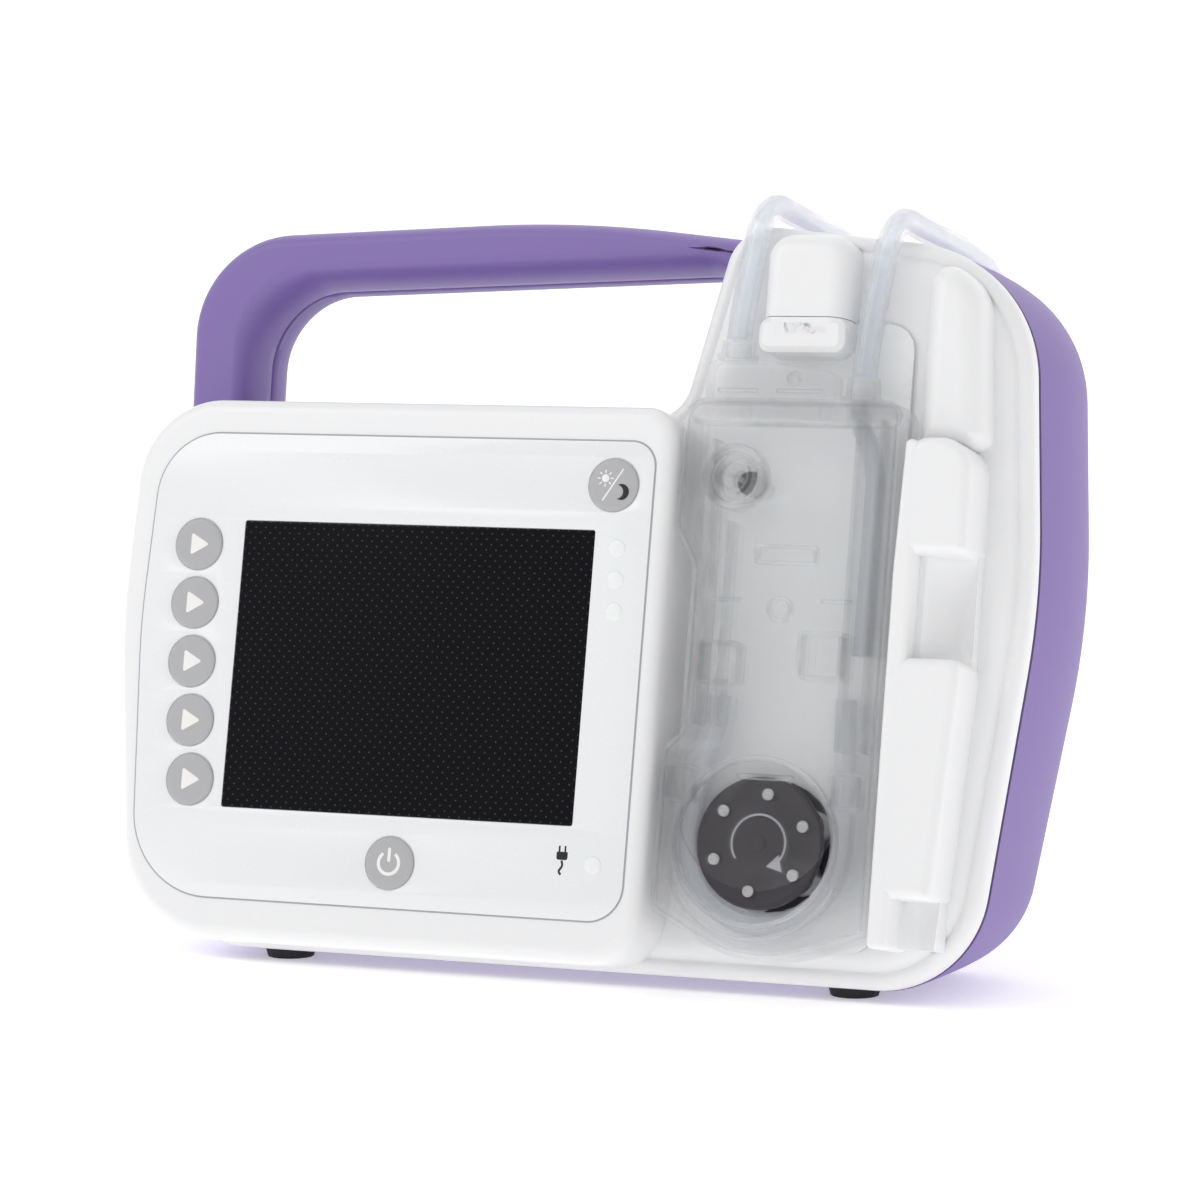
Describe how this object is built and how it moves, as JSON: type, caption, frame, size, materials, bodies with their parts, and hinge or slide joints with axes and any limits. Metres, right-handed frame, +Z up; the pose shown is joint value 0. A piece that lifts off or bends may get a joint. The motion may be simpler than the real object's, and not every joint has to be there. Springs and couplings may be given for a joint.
{
  "type": "portable feeding pump",
  "caption": "Portable tube-feeding pump that leans back on a level base, with a carrying handle, a screen and keys, and a clear pumping cassette whose tubes run over the top.",
  "frame": {"origin": "on the surface the pump stands on, under the middle of the pump's own box, without its free tubes", "axes": "+X to the right as seen from the front, +Y from the front panel towards the back, +Z up"},
  "size_m": [0.211, 0.159, 0.1477],
  "materials": {
    "battery_wrap": "shrink sleeve",
    "black_acetal": "moulded black",
    "black_glass": "glossy black window",
    "bright_steel": "turned",
    "circuit_board": "green solder mask",
    "clear_plastic": "clear moulded",
    "dark_rubber": "matt black",
    "grey_sheet": "printed light grey film",
    "key_grey": "matt grey moulded key",
    "light_lens": "frosted pale lens",
    "purple_abs": "fine-textured moulded purple",
    "silicone": "translucent soft tube",
    "white_abs": "satin moulded white"
  },
  "bodies": {
    "housing": {"battery_cover": "purple_abs", "battery_cover_screw": "bright_steel", "battery_pack": "battery_wrap", "bay_plate": "white_abs", "display_window": "black_glass", "drive_motor": "bright_steel", "foot_1": "dark_rubber", "foot_2": "dark_rubber", "foot_3": "dark_rubber", "foot_4": "dark_rubber", "front_overlay": "grey_sheet", "front_shell": "white_abs", "gearbox": "bright_steel", "handle_front_cover": "purple_abs", "housing_seal": "dark_rubber", "inlet_coil": "clear_plastic", "inlet_connector": "purple_abs", "inlet_tail": "clear_plastic", "inlet_tube": "clear_plastic", "keypad_board": "circuit_board", "lcd_module": "bright_steel", "main_board": "circuit_board", "mains_light": "light_lens", "outlet_coil": "clear_plastic", "outlet_connector": "purple_abs", "outlet_tail": "clear_plastic", "outlet_tube": "clear_plastic", "pole_clamp_plate": "bright_steel", "power_inlet": "dark_rubber", "rear_shell": "purple_abs", "shaft_bearing": "bright_steel", "shaft_seal": "dark_rubber", "speaker": "dark_rubber", "status_light_1": "light_lens", "status_light_2": "light_lens", "status_light_3": "light_lens", "valve_motor": "bright_steel"},
    "rotor": {"rotor_shaft": "bright_steel", "rotor_hub": "black_acetal", "rotor_face_plate": "black_acetal"},
    "roller_1": {"roller_1": "bright_steel"},
    "roller_2": {"roller_2": "bright_steel"},
    "roller_3": {"roller_3": "bright_steel"},
    "roller_4": {"roller_4": "bright_steel"},
    "roller_5": {"roller_5": "bright_steel"},
    "roller_6": {"roller_6": "bright_steel"},
    "cassette": {"cassette_body": "clear_plastic", "rotor_cover": "clear_plastic", "pump_tube": "silicone", "inlet_fitting": "clear_plastic", "outlet_fitting": "clear_plastic"},
    "cassette_valve": {"cassette_valve": "clear_plastic"},
    "valve_drive": {"valve_drive": "black_acetal"},
    "soft_key_1": {"soft_key_1": "key_grey"},
    "soft_key_2": {"soft_key_2": "key_grey"},
    "soft_key_3": {"soft_key_3": "key_grey"},
    "soft_key_4": {"soft_key_4": "key_grey"},
    "soft_key_5": {"soft_key_5": "key_grey"},
    "day_night_key": {"day_night_key": "key_grey"},
    "power_key": {"power_key": "key_grey"}
  },
  "joints": [
    {"name": "rotor_spin", "type": "hinge", "parent": "housing", "child": "rotor", "pos_m": [0.0444, -0.0299, 0.02936], "axis": [0, 0.9784, -0.2069], "continuous": true},
    {"name": "roller_1_spin", "type": "hinge", "parent": "rotor", "child": "roller_1", "pos_m": [0.05274, -0.03703, 0.03431], "axis": [0, 0.9784, -0.2069], "continuous": true},
    {"name": "roller_2_spin", "type": "hinge", "parent": "rotor", "child": "roller_2", "pos_m": [0.04565, -0.03588, 0.03973], "axis": [0, 0.9784, -0.2069], "continuous": true},
    {"name": "roller_3_spin", "type": "hinge", "parent": "rotor", "child": "roller_3", "pos_m": [0.03731, -0.03658, 0.03643], "axis": [0, 0.9784, -0.2069], "continuous": true},
    {"name": "roller_4_spin", "type": "hinge", "parent": "rotor", "child": "roller_4", "pos_m": [0.03605, -0.03842, 0.02771], "axis": [0, 0.9784, -0.2069], "continuous": true},
    {"name": "roller_5_spin", "type": "hinge", "parent": "rotor", "child": "roller_5", "pos_m": [0.04315, -0.03957, 0.02229], "axis": [0, 0.9784, -0.2069], "continuous": true},
    {"name": "roller_6_spin", "type": "hinge", "parent": "rotor", "child": "roller_6", "pos_m": [0.05149, -0.03887, 0.02559], "axis": [0, 0.9784, -0.2069], "continuous": true},
    {"name": "cassette_slide", "type": "slide", "parent": "housing", "child": "cassette", "axis": [0, -0.9784, 0.2069], "range_m": [0, 0.018]},
    {"name": "cassette_valve_turn", "type": "hinge", "parent": "cassette", "child": "cassette_valve", "pos_m": [0.0354, -0.02388, 0.09646], "axis": [0, 0.9784, -0.2069], "continuous": true},
    {"name": "valve_drive_turn", "type": "hinge", "parent": "housing", "child": "valve_drive", "pos_m": [0.0354, -0.02388, 0.09646], "axis": [0, 0.9784, -0.2069], "continuous": true},
    {"name": "soft_key_1_press", "type": "slide", "parent": "housing", "child": "soft_key_1", "axis": [0, 0.9784, -0.2069], "range_m": [0, 0.0006], "stiffness_N_per_m": 800},
    {"name": "soft_key_2_press", "type": "slide", "parent": "housing", "child": "soft_key_2", "axis": [0, 0.9784, -0.2069], "range_m": [0, 0.0006], "stiffness_N_per_m": 800},
    {"name": "soft_key_3_press", "type": "slide", "parent": "housing", "child": "soft_key_3", "axis": [0, 0.9784, -0.2069], "range_m": [0, 0.0006], "stiffness_N_per_m": 800},
    {"name": "soft_key_4_press", "type": "slide", "parent": "housing", "child": "soft_key_4", "axis": [0, 0.9784, -0.2069], "range_m": [0, 0.0006], "stiffness_N_per_m": 800},
    {"name": "soft_key_5_press", "type": "slide", "parent": "housing", "child": "soft_key_5", "axis": [0, 0.9784, -0.2069], "range_m": [0, 0.0006], "stiffness_N_per_m": 800},
    {"name": "day_night_key_press", "type": "slide", "parent": "housing", "child": "day_night_key", "axis": [0, 0.9784, -0.2069], "range_m": [0, 0.0006], "stiffness_N_per_m": 800},
    {"name": "power_key_press", "type": "slide", "parent": "housing", "child": "power_key", "axis": [0, 0.9784, -0.2069], "range_m": [0, 0.0006], "stiffness_N_per_m": 800}
  ],
  "couplings": [
    {"joint": "roller_1_spin", "follows": "rotor_spin", "ratio": -3.5714},
    {"joint": "roller_2_spin", "follows": "rotor_spin", "ratio": -3.5714},
    {"joint": "roller_3_spin", "follows": "rotor_spin", "ratio": -3.5714},
    {"joint": "roller_4_spin", "follows": "rotor_spin", "ratio": -3.5714},
    {"joint": "roller_5_spin", "follows": "rotor_spin", "ratio": -3.5714},
    {"joint": "roller_6_spin", "follows": "rotor_spin", "ratio": -3.5714},
    {"joint": "cassette_valve_turn", "follows": "valve_drive_turn", "ratio": 1}
  ]
}
